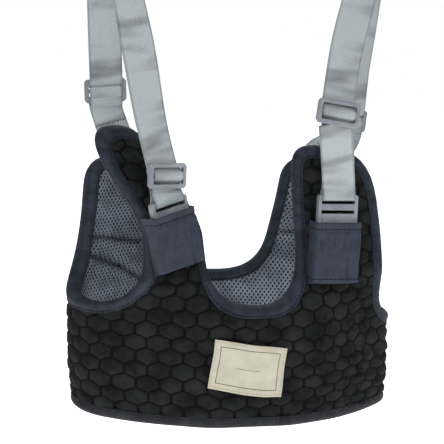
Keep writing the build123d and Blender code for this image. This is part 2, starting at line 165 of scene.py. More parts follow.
def place(u, z, depth=0.0):
    """Points of the vest, in mm, at distance u round the body, height z and depth under the outer face."""
    u, z, depth = np.broadcast_arrays(np.asarray(u, float), np.asarray(z, float), np.asarray(depth, float))
    u = np.where(u > GIRTH / 2, u - GIRTH, np.where(u < -GIRTH / 2, u + GIRTH, u))
    chest = smooth((z - 60) / 130)
    width = HALF_WIDTH - CHEST_NARROWING * chest - HEM_TUCK * smooth((30 - z) / 30)
    x, y, nx, ny, _ = oval(u / GIRTH, width, HALF_DEPTH - CHEST_FLATTENING * chest)
    x, y = x - nx * depth, y - ny * depth
    for lobe in LOBES.values():
        here = (lobe["u"][0] <= u) & (u < lobe["u"][1])
        low, high = lobe["lean"]
        share = smooth((z - low) / (high - low))
        from_edges = np.minimum(np.abs(u), np.abs(SIDE_SEAM - np.abs(u)))
        turned = smooth((z - TWIST_START) / TWIST_RISE) * smooth(from_edges / 35)
        angle = math.radians(lobe["twist"]) * turned
        px, py = lobe["pivot"]
        rx, ry = x - px, y - py
        lx = px + rx * np.cos(angle) - ry * np.sin(angle) + share * lobe["dx"] + turned * lobe["shift"]
        ly = py + rx * np.sin(angle) + ry * np.cos(angle) + share * lobe["dy"]
        x, y = np.where(here, lx, x), np.where(here, ly, y)
    return np.stack([x, y, z - DROOP * x], -1)


def u_curve(t):
    """Quarter of a rounded U: across and up, for t from 0 (bottom) to 1 (side)."""
    angle = np.clip(t, 0, 1) * math.pi / 2
    return np.sin(angle) ** (2 / CURVE_POWER), 1 - np.cos(angle) ** (2 / CURVE_POWER)


def edge_path(middle, bottom, across, up, top, rounding):
    """Edge from the bottom of an opening up to the top of a lobe, as an array of (u, z)."""
    top_u, top_z = top
    side_u = middle + across
    a, b = u_curve(np.linspace(0, 1, 14))
    bowl = np.stack([middle + across * a, bottom + up * b], -1)
    straight = np.linspace(bottom + up, top_z - rounding, 14)[1:-1]
    limb = np.stack([np.full_like(straight, side_u), straight], -1)
    a, b = u_curve(1 - np.linspace(0, 1, 10))
    cap = np.stack([top_u + (side_u - top_u) * a, top_z - rounding * b], -1)
    return np.concatenate([bowl, limb, cap])


def edges_of(lobe):
    """Neck edge and arm edge of a lobe."""
    side, hand = lobe.split("_")
    sign = -1 if hand == "left" else 1
    hole = ARMHOLES[hand]
    *top, neck_round, arm_round = TOPS[lobe]
    if side == "front":
        neck = edge_path(0, FRONT_NECK_BOTTOM, sign * NECK_HALF_WIDTH, NECK_DEPTH, top, neck_round)
        reach = -sign * hole["front"]
    else:
        back = sign * GIRTH / 2
        neck = edge_path(back, BACK_NECK_BOTTOM, -sign * BACK_NECK_HALF_WIDTH, NECK_DEPTH, top, neck_round)
        reach = sign * hole["back"]
    arm = edge_path(sign * hole["middle"], hole["bottom"], reach, ARMHOLE_DEPTH, top, arm_round)
    return neck, arm


def resample(path, step):
    """The same polyline with evenly spaced points, about step apart."""
    path = np.asarray(path, float)
    run = np.concatenate([[0], np.cumsum(np.linalg.norm(np.diff(path, axis=0), axis=1))])
    count = max(2, round(run[-1] / step))
    at = np.linspace(0, run[-1], count + 1)
    return np.stack([np.interp(at, run, path[:, k]) for k in range(path.shape[1])], -1)


def inside(points, polygon):
    """Which points lie inside a closed polygon."""
    x, y = points[:, 0], points[:, 1]
    result = np.zeros(len(points), bool)
    for (x0, y0), (x1, y1) in zip(polygon, np.roll(polygon, -1, axis=0)):
        if y0 == y1:
            continue
        crosses = (y0 > y) != (y1 > y)
        result ^= crosses & (x < (x1 - x0) * (y - y0) / (y1 - y0) + x0)
    return result


def distance_to(points, polyline):
    """Distance from each point to an open polyline."""
    best = np.full(len(points), 1e9)
    for a, b in zip(polyline[:-1], polyline[1:]):
        along = b - a
        length2 = float(along @ along)
        if length2 < 1e-9:
            continue
        t = np.clip(((points - a) @ along) / length2, 0, 1)
        best = np.minimum(best, np.linalg.norm(points - a - t[:, None] * along, axis=1))
    return best


(FL_NECK, FL_ARM), (FR_NECK, FR_ARM), (BL_NECK, BL_ARM), (BR_NECK, BR_ARM) = map(edges_of, LOBES)
# the vest's upper edge, unrolled from the back middle on the left to the right
TOP = np.concatenate([BL_NECK, BL_ARM[::-1], FL_ARM, FL_NECK[::-1],
                      FR_NECK, FR_ARM[::-1], BR_ARM, BR_NECK[::-1]])


# --- repeatable irregularity, and the quilting pattern ---
def hump(distance, width):
    """1 at no distance, and fading over a width."""
    return np.exp(-(distance / width) ** 2)


def ripple(u, z, scale, seed):
    """Smooth irregular value between about -1 and 1."""
    total = 0.0
    for k in range(4):
        angle = 2.1 * k + seed * 1.7
        bend = 0.6 * np.sin(u / scale * 0.7 + k * 1.3 + seed)
        along = (u * math.cos(angle) + z * math.sin(angle)) / scale
        total = total + np.sin(along * (1 + 0.37 * k) + seed * 5.1 + k * 2.4 + bend)
    return total / 2.6


def hexagons(u, z):
    """Depth into the nearest quilted cell: 0 on its seam, 1 in its middle."""
    slope = math.sqrt(3) / 2
    row_height = CELL * slope
    x, y = u, z * (row_height / ROW)
    best = np.inf
    base = np.round(y / row_height)
    for dr in (-1, 0, 1):
        row = base + dr
        shift = np.where(row % 2 == 0, 0.0, CELL / 2)
        cx = np.round((x - shift) / CELL) * CELL + shift
        px, py = x - cx, y - row * row_height
        leaning = np.maximum(np.abs(px * 0.5 + py * slope), np.abs(px * 0.5 - py * slope))
        best = np.minimum(best, np.maximum(np.abs(px), leaning))
    return 1 - np.clip(best / (CELL / 2), 0, 1)


# --- mesh helpers ---
def add_object(name, data):
    """New object in the scene."""
    made = bpy.data.objects.new(name, data)
    bpy.context.scene.collection.objects.link(made)
    return made


def mesh_object(name, points, faces, flat, mark=None):
    """Object from points in mm.  flat: a pattern position for each point; mark: one number for each."""
    mesh = bpy.data.meshes.new(name)
    vertices = [tuple(p) for p in np.asarray(points) * MM]
    mesh.from_pydata(vertices, [], [tuple(int(i) for i in f) for f in faces])
    mesh.validate()
    data = mesh.attributes.new("flat", "FLOAT_VECTOR", "POINT").data
    data.foreach_set("vector", np.asarray(flat, np.float32).ravel())
    if mark is not None:
        data = mesh.attributes.new("mark", "FLOAT", "POINT").data
        data.foreach_set("value", np.asarray(mark, np.float32))
    mesh.update()
    mesh.shade_smooth()
    return add_object(name, mesh)


def grid(across, up):
    """Coordinates of a grid of points, row by row."""
    return (g.ravel() for g in np.meshgrid(across, up))


def grid_quads(columns, rows):
    """Faces of a grid of points that is stored row by row."""
    index = np.arange(columns * rows).reshape(rows, columns)
    corners = [index[:-1, :-1], index[:-1, 1:], index[1:, 1:], index[1:, :-1]]
    return np.stack(corners, -1).reshape(-1, 4)


def tube_faces(rings, sides, closed):
    """Faces of a swept section: rings of points, one after the other."""
    faces = []
    for r in range(rings if closed else rings - 1):
        a, b = r * sides, ((r + 1) % rings) * sides
        for k in range(sides):
            j = (k + 1) % sides
            faces.append((a + k, a + j, b + j, b + k))
    if not closed:
        faces.append(tuple(range(sides))[::-1])
        faces.append(tuple((rings - 1) * sides + k for k in range(sides)))
    return faces


def fix_normals(piece):
    """Turn all faces outwards."""
    work = bmesh.new()
    work.from_mesh(piece.data)
    bmesh.ops.recalc_face_normals(work, faces=work.faces)
    work.to_mesh(piece.data)
    work.free()


def closed_shell(quads, count):
    """Faces of a shell: these quads, the same ones a layer of points later, and a rim between."""
    edges = {(a, b): True for quad in quads for a, b in zip(quad, np.roll(quad, -1))}
    rim = [(b, a, a + count, b + count) for a, b in edges if (b, a) not in edges]
    return [tuple(q) for q in quads] + [tuple(q[::-1] + count) for q in quads] + rim


def shell(name, outer, inner, quads, flat, mark=None):
    """Closed piece between two layers of points that share their faces, pattern and marks."""
    points = np.concatenate([outer, inner])
    marks = None if mark is None else np.concatenate([mark, mark])
    return mesh_object(name, points, closed_shell(quads, len(outer)), np.concatenate([flat, flat]), marks)


def swept(name, rows, flats, closed, marks=None):
    """Piece swept along a route: one row of points for each point of its section."""
    points = np.stack(rows, 1).reshape(-1, 3)
    flat = np.stack(flats, 1).reshape(-1, 3)
    mark = None if marks is None else np.stack(marks, 1).ravel()
    piece = mesh_object(name, points, tube_faces(len(rows[0]), len(rows), closed), flat, mark)
    fix_normals(piece)
    return piece


# --- colours, as 0-255 display values, and pattern sizes ---
# near black: painted shade down in the quilting seams, and the dark fibres on the cells
SEAM_SHADE_AND_FIBRE = (3, 3, 4)
CELL_DARK, CELL_LIGHT = (12, 14, 15), (40, 41, 41)
# the hole colour is painted shade, down in the holes and along the lining's creases
MESH_DARK, MESH_LIGHT, MESH_HOLE_AND_CREASE_SHADE = (92, 102, 115), (134, 146, 158), (26, 30, 38)
# the thread colour is also the painted shade in the tapes' wrinkles
TAPE_DARK, TAPE_LIGHT, TAPE_THREAD_AND_WRINKLE_SHADE = (23, 27, 36), (44, 51, 65), (12, 14, 20)
HEM_DARK, HEM_LIGHT = (30, 31, 35), (48, 49, 54)
COVER_DARK, COVER_LIGHT = (43, 49, 61), (52, 59, 72)
# WEB_DARK and WEB_LIGHT also give the painted sheen of the satin
WEB_DEEP, WEB_DARK, WEB_LIGHT = (70, 77, 81), (84, 90, 92), (172, 181, 184)
PLASTIC_DARK, PLASTIC_LIGHT = (118, 122, 130), (138, 142, 150)
LABEL_DARK, LABEL_LIGHT = (180, 175, 157), (194, 190, 174)
INK, LABEL_THREAD = (52, 50, 54), (150, 142, 120)
SEWING_THREAD = (28, 28, 34)
FLOOR_DARK, FLOOR_LIGHT = (246, 246, 246), (250, 250, 250)
TAPE_SEAM = 5.6  # stitches from the folded edge of a tape
COVER_SEAMS = (5.0, 42.0)  # and from the mouth of a cover
MESH_PITCH = 3.7  # between holes
MESH_SLANT = 0.72
KNIT_PITCH, MESH_KNIT_PITCH, TAPE_PITCH, LABEL_PITCH = 0.9, 0.8, 0.7, 0.6
HERRINGBONE = 2.1  # width of a zigzag
TWILL_PITCH = 1.9
SELVEDGE = 1.7
LABEL_BORDER = 4.9  # printed line from the label's edge
LABEL_SEAM = 1.6


# --- procedural materials ---
def linear(*srgb):
    """Linear colour from 0-255 display values."""
    return tuple(((c / 255 + 0.055) / 1.055) ** 2.4 if c > 10 else c / 255 / 12.92 for c in srgb) + (1.0,)


class Nodes:
    """A node tree, built up a node at a time."""

    def __init__(self, owner, last):
        owner.use_nodes = True
        self.tree = owner.node_tree
        self.last = self.tree.nodes[last].inputs

    def new(self, kind):
        return self.tree.nodes.new("ShaderNode" + kind)

    def put(self, socket, value):
        """Link a socket, or set it to a constant."""
        if isinstance(value, bpy.types.NodeSocket):
            self.tree.links.new(value, socket)
        else:
            socket.default_value = value

    def node(self, kind, *values, out=0, **settings):
        """Add a node with its inputs in order, and return one output."""
        made = self.new(kind)
        for key, value in settings.items():
            setattr(made, key, value)
        for socket, value in zip(made.inputs, values):
            if value is not None:
                self.put(socket, value)
        return made.outputs[out]

    def math(self, operation, *values):
        return self.node("Math", *values, operation=operation)

    def vector(self, operation, *values, out=0):
        return self.node("VectorMath", *values, operation=operation, out=out)

    def attribute(self, name, out="Vector"):
        made = self.new("Attribute")
        made.attribute_name = name
        return made.outputs[out]

    def on_object(self):
        return self.new("TexCoord").outputs["Object"]

    def split(self, vector):
        made = self.new("SeparateXYZ")
        self.put(made.inputs[0], vector)
        return made.outputs

    def join(self, x, y, z=0.0):
        return self.node("CombineXYZ", x, y, z)

    def between(self, value, low, high, to_low=0.0, to_high=1.0):
        """Smooth step of a value from low to high."""
        return self.node("MapRange", value, low, high, to_low, to_high, interpolation_type="SMOOTHSTEP")

    def noise(self, where, scale, detail=3.0):
        return self.node("TexNoise", where, None, scale, detail, 0.55)

    def mix(self, share, first, second):
        """Colour between the first and the second; either can be a 0-255 display colour."""
        colours = [linear(*c) if isinstance(c, tuple) else c for c in (first, second)]
        return self.node("Mix", share, *[None] * 5, *colours, out=2, data_type="RGBA")

    def mottled(self, cloud, dark, light):
        """Cloudy colour between a dark and a light one."""
        return self.mix(self.between(cloud, 0.3, 0.7), dark, light)

    def add(self, *values):
        total = values[0]
        for value in values[1:]:
            total = self.math("ADD", total, value)
        return total

    def scaled(self, value, factor):
        return self.math("MULTIPLY", value, factor)

    def bump(self, height, depth_mm):
        made = self.new("Bump")
        made.inputs["Distance"].default_value = depth_mm * MM
        self.put(made.inputs["Height"], height)
        return made.outputs[0]


class Shader(Nodes):
    """The nodes of a material."""

    def __init__(self, name, roughness, sheen=0.0, specular=0.5):
        self.material = bpy.data.materials.new(name)
        super().__init__(self.material, "Principled BSDF")
        self.last["Roughness"].default_value = roughness
        self.last["Specular IOR Level"].default_value = specular
        self.last["Sheen Weight"].default_value = sheen

    def finish(self, colour, normal=None, roughness=None):
        """The material, once its last inputs are set."""
        for name, value in (("Base Color", colour), ("Normal", normal), ("Roughness", roughness)):
            if value is not None:
                self.put(self.last[name], value)
        return self.material


def plain_weave(s, flat, pitch):
    """Over-and-under threads of a woven cloth, 0 to 1."""
    x, y, _ = s.split(flat)
    across = s.math("SINE", s.scaled(x, math.tau / pitch))
    along = s.math("SINE", s.scaled(y, math.tau / pitch))
    return s.add(s.scaled(s.math("MULTIPLY", across, along), 0.5), 0.5)


def quilted_cloth():
    """Black knitted face cloth, with painted shade down in the quilting seams, and dusty on the cells."""
    s = Shader("quilted_cloth", 0.8, specular=0.12)
    flat = s.attribute("flat")
    inner = s.attribute("mark", "Fac")
    cloud = s.noise(flat, 0.05, 4.0)
    fibre = s.noise(flat, 1.6, 2.0)
    knit = plain_weave(s, flat, KNIT_PITCH)
    cell = s.mottled(cloud, CELL_DARK, CELL_LIGHT)
    cell = s.mix(s.scaled(fibre, 0.35), cell, SEAM_SHADE_AND_FIBRE)
    # painted shade: the cloth goes to near black down in the seams between the cells
    colour = s.mix(s.between(inner, 0.03, 0.20), SEAM_SHADE_AND_FIBRE, cell)
    height = s.add(s.scaled(knit, 0.5), s.scaled(fibre, 0.5))
    return s.finish(colour, s.bump(height, 0.16))


def air_mesh():
    """Spacer mesh with staggered oval holes, painted dark with the shade down in them, and painted shade
    along the lining's creases.
    """
    s = Shader("air_mesh", 0.75, specular=0.2)
    flat = s.attribute("flat")
    x, y, _ = s.split(flat)
    a = s.scaled(s.add(x, s.scaled(y, MESH_SLANT)), 1 / MESH_PITCH)
    b = s.scaled(s.math("SUBTRACT", x, s.scaled(y, MESH_SLANT)), 1 / MESH_PITCH)
    cell = s.vector("SUBTRACT", s.vector("FRACTION", s.join(a, b)), (0.5, 0.5, 0.0))
    from_hole = s.vector("LENGTH", cell, out=1)
    thread = s.between(from_hole, 0.22, 0.36)
    knit = plain_weave(s, flat, MESH_KNIT_PITCH)
    cloud = s.noise(flat, 0.06, 3.0)
    lit = s.mottled(cloud, MESH_DARK, MESH_LIGHT)
    lit = s.mix(s.scaled(knit, 0.3), lit, MESH_DARK)
    # painted shade down in the holes
    colour = s.mix(thread, MESH_HOLE_AND_CREASE_SHADE, lit)
    # painted shade along the creases, which the lining marks
    colour = s.mix(s.scaled(s.attribute("mark", "Fac"), 0.7), colour, MESH_HOLE_AND_CREASE_SHADE)
    height = s.add(s.scaled(thread, 0.8), s.scaled(knit, 0.2))
    return s.finish(colour, s.bump(height, 0.6))


def stitches(s, along, across, row, length=3.0, width=0.35):
    """1 on the threads of a row of stitches along a piece."""
    on_row = s.between(s.math("ABSOLUTE", s.math("SUBTRACT", across, row)), width, width + 0.25, 1.0, 0.0)
    step = s.math("FRACT", s.scaled(along, 1 / length))
    on_step = s.between(s.math("ABSOLUTE", s.math("SUBTRACT", step, 0.5)), 0.30, 0.40, 1.0, 0.0)
    return s.math("MULTIPLY", on_row, on_step)


def tape_cloth(name, dark, light, stitch_rows):
    """Tightly woven tape, with stitch rows at these distances from its folded edge, and painted shade in its
    wrinkles.
    """
    s = Shader(name, 0.7, sheen=0.02, specular=0.2)
    flat = s.attribute("flat")
    along, across, _ = s.split(flat)
    weave = plain_weave(s, flat, TAPE_PITCH)
    cloud = s.noise(flat, 0.09, 4.0)
    worn = s.noise(flat, 0.9, 2.0)
    wrinkle = s.noise(s.vector("MULTIPLY", flat, (1.0, 0.3, 1.0)), 0.3, 2.0)
    colour = s.mottled(cloud, dark, light)
    colour = s.mix(s.scaled(worn, 0.25), colour, light)
    # painted shade: the wrinkles darken towards the thread colour
    colour = s.mix(s.between(wrinkle, 0.25, 0.5, 0.45, 0.0), colour, TAPE_THREAD_AND_WRINKLE_SHADE)
    height = s.add(s.scaled(weave, 0.2), s.add(s.scaled(worn, 0.3), s.scaled(wrinkle, 1.6)))
    for row in stitch_rows:
        sewn = stitches(s, along, across, row)
        colour = s.mix(sewn, colour, TAPE_THREAD_AND_WRINKLE_SHADE)
        height = s.add(height, s.scaled(sewn, 0.9))
    return s.finish(colour, s.bump(height, 0.22))


def webbing():
    """Satin webbing with a herringbone weave and firm edges, and a painted sheen of lighter and darker
    streaks along it; sewn rows where it is marked.
    """
    s = Shader("webbing", 0.38, specular=0.5)
    flat = s.attribute("flat")
    along, across, _ = s.split(flat)
    zigzag = s.math("PINGPONG", across, HERRINGBONE)
    twill = s.math("SINE", s.scaled(s.add(along, s.scaled(zigzag, 1.1)), math.tau / TWILL_PITCH))
    ribs = s.math("SINE", s.scaled(across, math.tau / HERRINGBONE))
    worn = s.noise(flat, 0.5, 3.0)
    cloud = s.noise(s.vector("MULTIPLY", flat, (1.0, 0.3, 1.0)), 0.045, 2.5)
    border = WEBBING_WIDTH / 2 - SELVEDGE
    edge = s.between(s.math("ABSOLUTE", across), border, border + 0.6)
    # painted sheen: the satin's lighter and darker streaks along the strap
    colour = s.mix(s.between(cloud, 0.30, 0.52), WEB_DARK, WEB_LIGHT)
    colour = s.mix(s.add(0.24, s.scaled(twill, 0.24)), colour, WEB_DEEP)
    colour = s.mix(s.scaled(worn, 0.25), colour, WEB_LIGHT)
    colour = s.mix(s.scaled(edge, 0.4), colour, WEB_DARK)
    sewn = s.attribute("mark", "Fac")
    thread = s.math("MULTIPLY", sewn, s.between(s.math("PINGPONG", across, 1.1), 0.2, 0.4))
    colour = s.mix(thread, colour, SEWING_THREAD)
    height = s.add(s.scaled(twill, 0.3), s.scaled(ribs, 0.12), s.scaled(worn, 0.3))
    gloss = s.between(cloud, 0.3, 0.7, 0.30, 0.46)
    return s.finish(colour, s.bump(height, 0.16), gloss)


def moulded_plastic():
    """Grey moulded plastic with a fine spark-eroded grain."""
    s = Shader("moulded_plastic", 0.4, specular=0.5)
    where = s.on_object()
    grain = s.noise(where, 2600.0, 2.0)
    cloud = s.noise(where, 60.0, 3.0)
    colour = s.mottled(cloud, PLASTIC_DARK, PLASTIC_LIGHT)
    rough = s.between(s.add(s.scaled(grain, 0.6), s.scaled(cloud, 0.4)), 0.3, 0.7, 0.34, 0.5)
    return s.finish(colour, s.bump(grain, 0.06), rough)


def label_cloth():
    """Cream woven label with a thin printed border, a rule and edge stitches; it has no words."""
    s = Shader("label_cloth", 0.8, sheen=0.08, specular=0.3)
    flat = s.attribute("flat")
    x, y, _ = s.split(flat)
    ax, ay = s.math("ABSOLUTE", x), s.math("ABSOLUTE", y)
    dx = s.math("SUBTRACT", ax, LABEL_SIZE[0] / 2 - LABEL_BORDER)
    dy = s.math("SUBTRACT", ay, LABEL_SIZE[1] / 2 - LABEL_BORDER)
    frame_line = s.between(s.math("ABSOLUTE", s.math("MAXIMUM", dx, dy)), 0.22, 0.42, 1.0, 0.0)
    on_rule = s.between(s.math("ABSOLUTE", s.math("SUBTRACT", y, -1.0)), 0.15, 0.35, 1.0, 0.0)
    rule = s.math("MULTIPLY", on_rule, s.between(ax, 9.0, 9.5, 1.0, 0.0))
    sides = stitches(s, y, ax, LABEL_SIZE[0] / 2 - LABEL_SEAM, 2.6, 0.2)
    ends = stitches(s, x, ay, LABEL_SIZE[1] / 2 - LABEL_SEAM, 2.6, 0.2)
    sewn = s.math("MAXIMUM", sides, ends)
    printed = s.add(frame_line, s.scaled(rule, 0.8))
    weave = plain_weave(s, flat, LABEL_PITCH)
    cloud = s.noise(flat, 0.08, 3.0)
    colour = s.mottled(cloud, LABEL_DARK, LABEL_LIGHT)
    colour = s.mix(s.scaled(weave, 0.15), colour, LABEL_DARK)
    colour = s.mix(s.scaled(printed, 0.8), colour, INK)
    colour = s.mix(s.scaled(sewn, 0.6), colour, LABEL_THREAD)
    height = s.add(s.scaled(weave, 0.3), s.scaled(sewn, 0.6))
    return s.finish(colour, s.bump(height, 0.15))


MATERIALS = {
    "quilted_cloth": quilted_cloth(),
    "air_mesh": air_mesh(),
    "binding_tape": tape_cloth("binding_tape", TAPE_DARK, TAPE_LIGHT, (TAPE_SEAM,)),
    "hem_tape": tape_cloth("hem_tape", HEM_DARK, HEM_LIGHT, (TAPE_SEAM,)),
    "cover_cloth": tape_cloth("cover_cloth", COVER_DARK, COVER_LIGHT, COVER_SEAMS),
    "webbing": webbing(),
    "moulded_plastic": moulded_plastic(),
    "label_cloth": label_cloth(),
}


def dress(piece, slot, body, *nodes, look=None):
    """Give a piece its material and its body if it has just one, and hide the CAD nodes that it stands for.
    """
    piece.data.materials.clear()
    piece.data.materials.append(MATERIALS[look or slot])
    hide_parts(*nodes)
    if body:
        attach(piece, body)
    return piece


# --- cloth simulation ---
def inflate(piece, held, pressure, slack, frames, cap):
    """Blow the outer layer of a shell up as cloth; its inner layer stays.

    held says how firmly each outer point is sewn down, 0 to 1; cap is the furthest move in mm.
    """
    start = np.array([v.co for v in piece.data.vertices])
    group = piece.vertex_groups.new(name="sewn_down")
    levels = np.round(np.concatenate([held, np.ones(len(held))]), 1)
    for level in np.unique(levels):
        members = np.nonzero(levels == level)[0].tolist()
        if level > 0:
            group.add(members, float(level), "REPLACE")
    cloth = piece.modifiers.new("cloth", "CLOTH")
    cloth.settings.vertex_group_mass = group.name
    cloth.settings.quality = 4
    cloth.settings.mass = 0.1
    cloth.settings.bending_stiffness = 0.2
    cloth.settings.shrink_min = -slack
    cloth.settings.use_pressure = True
    cloth.settings.uniform_pressure_force = pressure
    cloth.settings.effector_weights.gravity = 0.0
    cloth.collision_settings.use_collision = False
    cloth.point_cache.frame_end = frames
    for at in range(1, frames + 1):
        bpy.context.scene.frame_set(at)
    shaped = piece.evaluated_get(bpy.context.evaluated_depsgraph_get())
    moved = np.array([v.co for v in shaped.data.vertices]) - start
    piece.modifiers.remove(cloth)
    bpy.context.scene.frame_set(1)
    length = np.linalg.norm(moved, axis=1)[:, None]
    moved *= np.minimum(1, cap * MM / np.maximum(length, 1e-9))
    piece.data.vertices.foreach_set("co", (start + moved).astype(np.float32).ravel())
    piece.data.update()


# --- padded panels ---
PANELS = {"front": (-SIDE_SEAM, SIDE_SEAM), "back": (SIDE_SEAM, GIRTH - SIDE_SEAM)}
PANEL_FOOT = 3.0  # lowest point of the panels, inside the hem tape


def wrapped(u):
    """The same place on the vest, with u within half a girth of the front middle."""
    return np.where(u > GIRTH / 2, u - GIRTH, u)


def panel_grid(side, step):
    """Grid points u and z of a panel, the faces between them, and the points' distance from the edge."""
    u0, u1 = PANELS[side]
    count = round((u1 - u0) / step)
    us = np.arange(count + 1) * ((u1 - u0) / count) + u0
    zs = np.arange(PANEL_FOOT, max(t[1] for t in TOPS.values()), step)
    u, z = grid(us, zs)
    flat = np.stack([wrapped(u), z], -1)
    outline = np.concatenate([[(-GIRTH / 2, -50)], TOP, [(GIRTH / 2, -50)]])
    near = distance_to(flat, TOP)
    keep = inside(flat + [0.01, 0.013], outline) & (near > 1.0)
    quads = grid_quads(len(us), len(zs))
    quads = quads[keep[quads].all(1)]
    used = np.unique(quads)
    renumber = np.full(len(u), -1)
    renumber[used] = np.arange(len(used))
    near = np.minimum(near[used], z[used] + 2)
    return u[used], z[used], renumber[quads], near


def cell_coordinates(u, z):
    """Pattern coordinates of the quilting: pulled about by sewing, and squeezed at the lower right."""
    wander_u = 2.0 * ripple(u, z, 34, 1) + 0.9 * ripple(u, z, 13, 2)
    wander_z = 1.3 * ripple(u, z, 31, 3) + 0.7 * ripple(u, z, 12, 4)
    squeeze = 17 * hump(u - 100, 55) * smooth((SQUEEZED_BELOW - z) / SQUEEZED_BELOW)
    pull = 12 * hump(u - PULLED_AT[0], 30) * hump(z - PULLED_AT[1], 30)
    return u + wander_u + pull, z + wander_z - squeeze - 0.75 * pull


def drag_folds(u, z):
    """Height of the shallow folds that run down and across from the right armhole."""
    there = hump(u - 105, 42) * hump(z - 42, 34)
    across = z * 0.86 + u * 0.5 + 1.6 * ripple(u, z, 24, 8)
    return there * np.sin(across / FOLD_PITCH * math.tau)


def quilting(side):
    """Outer layer: face cloth sewn down in hexagons over foam."""
    u, z, quads, near = panel_grid(side, GRID)
    flat_u = wrapped(u)
    cu, cz = cell_coordinates(u, z)
    cell = hexagons(cu, cz)
    dome = 1 - (1 - np.clip(cell * 1.25, 0, 1)) ** 2.6
    size = 1 + 0.16 * ripple(u, z, 9, 6)
    at_tape = smooth((near - 4.0) / 8.0)
    folds = FOLD_HEIGHT * drag_folds(u, z) + 0.8 * ripple(u, z, 22, 7)
    swell = (PUFF * dome * size - 0.9 + folds) * at_tape
    outer, inner = place(flat_u, z, -swell), place(flat_u, z, INNER_FACE)
    piece = shell(side + "_quilting", outer, inner, quads, np.stack([cu, cz, cell * 0], -1), cell)
    held = np.clip(1 - smooth((cell - 0.06) / 0.12) * smooth((near - 7) / 3), 0, 1)
    inflate(piece, held, pressure=3.0, slack=0.03, frames=12, cap=1.4)
    return piece


CREASES = (  # folds of the lining, as (u0, z0, u1, z1, depth)
    (-240, 117, -182, 127, 2.2),
    (-252, 82, -222, 98, 2.6),
    (-222, 98, -182, 114, 2.6),
    (220, 125, 262, 123, 2.2),
)


def lining(side):
    """Inner layer: spacer mesh, slack between its seams and folded where the lobes bend."""
    u, z, quads, near = panel_grid(side, LINING_GRID)
    flat_u = wrapped(u)
    at_tape = smooth((near - 5.0) / 10.0)
    swell = 1.3 * at_tape + 0.8 * ripple(u, z, 26, 11) * at_tape
    shade = np.zeros(len(u))
    points = np.stack([flat_u, z], -1)
    for u0, z0, u1, z1, depth in CREASES:
        away = distance_to(points, np.array([(u0, z0), (u1, z1)], float))
        swell = swell + depth * (0.6 * hump(away - 8, 5) - hump(away, 1.7)) * at_tape
        shade = np.maximum(shade, hump(away, 2.2))
    outer = place(flat_u, z, INNER_FACE + LINING_GAP)
    inner = place(flat_u, z, THICKNESS + swell)
    flat = np.stack([u + 0.5 * ripple(u, z, 15, 12), z + 0.5 * ripple(u, z, 17, 13), z * 0], -1)
    return shell(side + "_lining_mesh", outer, inner, quads, flat, shade)


# --- folded tape ---
TAPE_SECTION = (  # distance in from the edge, and depth under the outer face; the far side mirrors it
    (7.4, 1.2), (7.3, -0.4), (6.9, -1.2), (6.2, -1.25), (5.6, -0.9), (4.9, -1.35),
    (3.6, -1.9), (2.0, -2.0), (0.5, -1.5), (-0.6, -0.4), (-1.2, 1.4), (-1.4, 3.8),
)
TAPE_WIDTH = 7.4  # as drawn in the section
TAPE_STEP = 2.0  # spacing along the tape
STITCH = 3.0


def tape_loop(name, path, closed, turn_in, width=TAPE_WIDTH, proud=1.0):
    """Tape folded over an edge.  path is (u, z) along it; turn_in is 1 where the cloth is on its left."""
    path = resample(path, TAPE_STEP)
    tangent = np.gradient(path, axis=0)
    ease = np.ones(len(path))
    if closed:
        path, tangent = path[:-1], tangent[:-1]
        from_start = np.arange(len(path))
        ease = smooth(np.minimum(from_start, from_start[::-1]) / 12)
    tangent = tangent / np.linalg.norm(tangent, axis=1)[:, None]
    inward = np.stack([-tangent[:, 1], tangent[:, 0]], -1) * turn_in
    half = [(s * width / TAPE_WIDTH, d * proud if d < 0 else d) for s, d in TAPE_SECTION]
    section = half + [(s, THICKNESS - d) for s, d in half[::-1]]
    run = np.arange(len(path)) * TAPE_STEP
    rows, flats = [], []
    for s, d in section:
        pucker = 0.2 * np.sin(run / STITCH * math.tau) * (1 if 4 < s < 7 else 0.3) * ease
        wobble = 0.5 * ripple(run, run * 0 + 2 * s, 12, 21) * ease
        sign = np.sign(THICKNESS / 2 - d)
        sway = 0.35 * ripple(run, run * 0, 19, 22) * ease
        at = path + inward * (s + sway)[:, None]
        on_face = abs(d - THICKNESS / 2) >= 3.5
        rows.append(place(at[:, 0], at[:, 1], d - sign * (pucker + wobble) * on_face))
        flats.append(np.stack([run, run * 0 + s, run * 0 + sign], -1))
    return swept(name, rows, flats, closed)


UPPER_TAPES = {  # path of each upper tape, by the CAD node that it stands for
    "front_neck_binding": (FL_NECK[::-1], FR_NECK[1:]),
    "back_neck_binding": (BR_NECK[::-1], BL_NECK[1:] + (GIRTH, 0)),
    "left_armhole_binding": (BL_ARM[::-1], FL_ARM[1:]),
    "right_armhole_binding": (FR_ARM[::-1], BR_ARM[1:]),
}


# --- where the hardware sits ---
def unit(v):
    """The same direction, one long."""
    v = np.asarray(v, float)
    return v / np.linalg.norm(v)


class Plane:
    """A place for hardware: an origin in mm, and directions x across, y up and z out."""

    def __init__(self, origin, across, up):
        self.origin = np.asarray(origin, float)
        self.y = unit(up)
        self.x = unit(across - self.y * (across @ self.y))
        self.z = np.cross(self.x, self.y)

    def moved(self, travel):
        """The same plane at another origin."""
        return Plane(self.origin + travel, self.x, self.y)

    def rolled(self, degrees):
        """The same plane turned in itself, anticlockwise seen from outside."""
        turn = math.radians(degrees)
        across = self.x * math.cos(turn) + self.y * math.sin(turn)
        up = self.y * math.cos(turn) - self.x * math.sin(turn)
        return Plane(self.origin, across, up)

    def at(self, x, y, z):
        """Points in mm, from their places in this plane's frame."""
        outer = np.multiply.outer
        return self.origin + outer(x, self.x) + outer(y, self.y) + outer(z, self.z)


